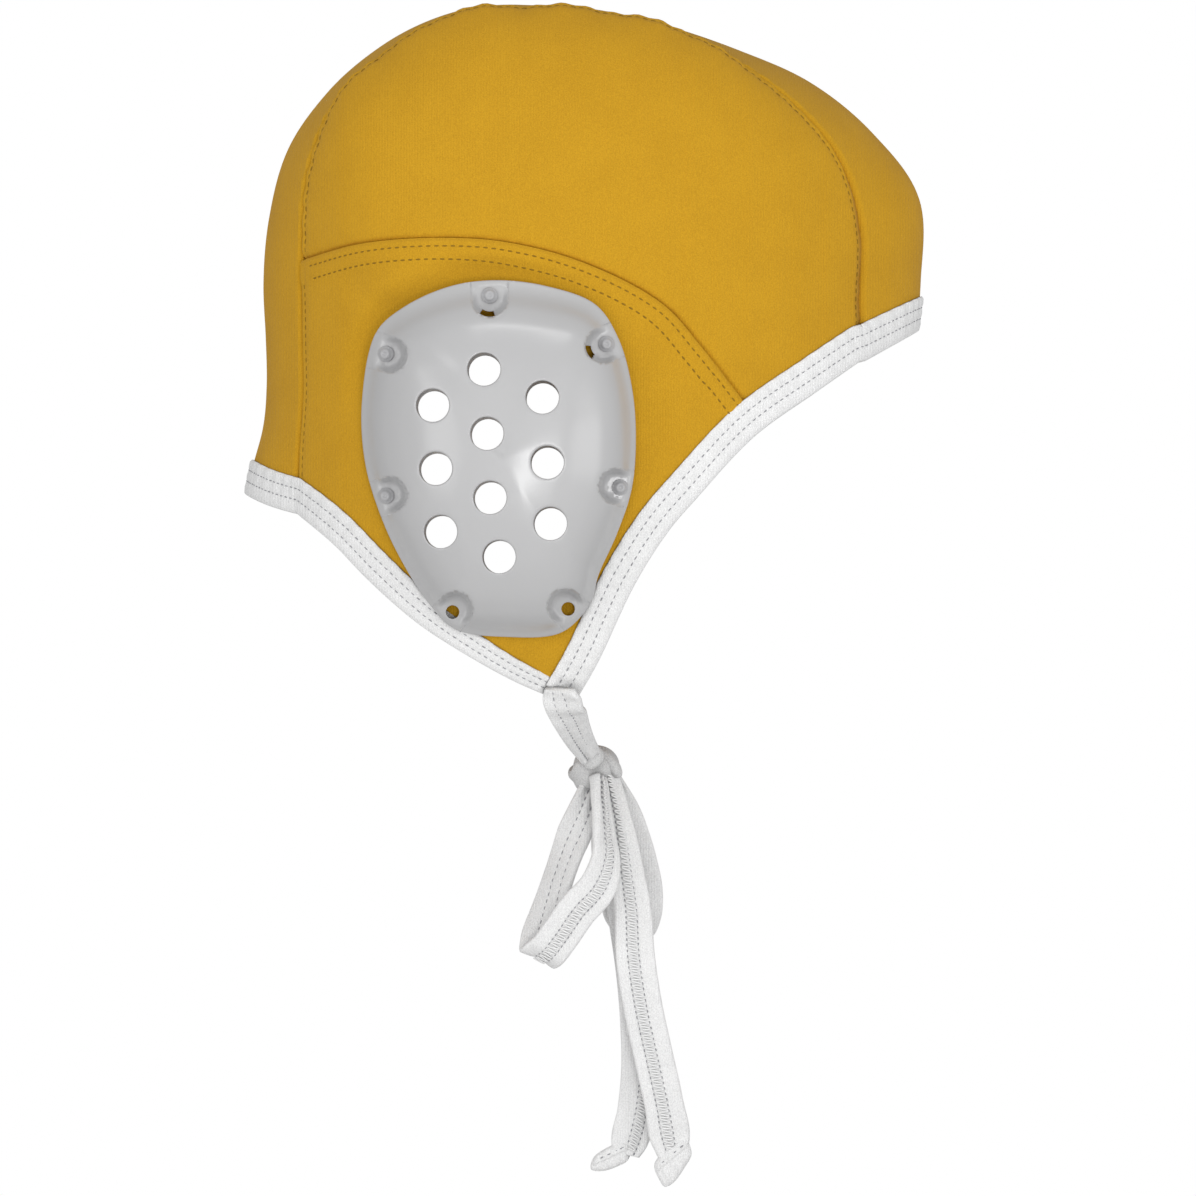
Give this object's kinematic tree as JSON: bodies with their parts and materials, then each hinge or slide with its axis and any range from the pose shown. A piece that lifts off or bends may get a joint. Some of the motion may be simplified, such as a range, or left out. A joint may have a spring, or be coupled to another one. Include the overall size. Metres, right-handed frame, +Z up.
{
  "type": "water polo cap",
  "caption": "Close-fitting knit water polo cap with taped edges, perforated hard ear guards pinned over the ears, and tape ties in a bow under the chin.",
  "frame": {"origin": "inside of the crown on the middle plane, where the cap sits on top of the head", "axes": "+X towards the wearer's face, +Z up, -Y towards the wearer's right ear"},
  "size_m": [0.2113, 0.1952, 0.3667],
  "materials": {
    "knit": "fine golden yellow swimwear knit, matt with a soft sheen",
    "tape": "white folded knit tape with twin needle rows",
    "guard_plastic": "glossy pale grey moulded plastic",
    "pin_plastic": "satin grey moulded plastic"
  },
  "bodies": {
    "root": {"centre_panel": "knit", "upper_side_panel_right": "knit", "upper_side_panel_left": "knit", "ear_panel_right": "knit", "ear_panel_left": "knit", "binding_front": "tape", "binding_back": "tape", "ear_guard_right": "guard_plastic", "ear_guard_left": "guard_plastic", "guard_pin_right_1": "pin_plastic", "guard_pin_left_1": "pin_plastic", "guard_pin_right_2": "pin_plastic", "guard_pin_left_2": "pin_plastic", "guard_pin_right_3": "pin_plastic", "guard_pin_left_3": "pin_plastic", "guard_pin_right_4": "pin_plastic", "guard_pin_left_4": "pin_plastic", "guard_pin_right_5": "pin_plastic", "guard_pin_left_5": "pin_plastic", "chin_tie_right": "tape", "chin_tie_left": "tape", "bow_knot": "tape", "bow_loop_near": "tape", "bow_loop_far": "tape", "tie_tail_near": "tape", "tie_tail_far": "tape", "tail_tip_near": "tape", "tail_tip_far": "tape"}
  },
  "joints": []
}
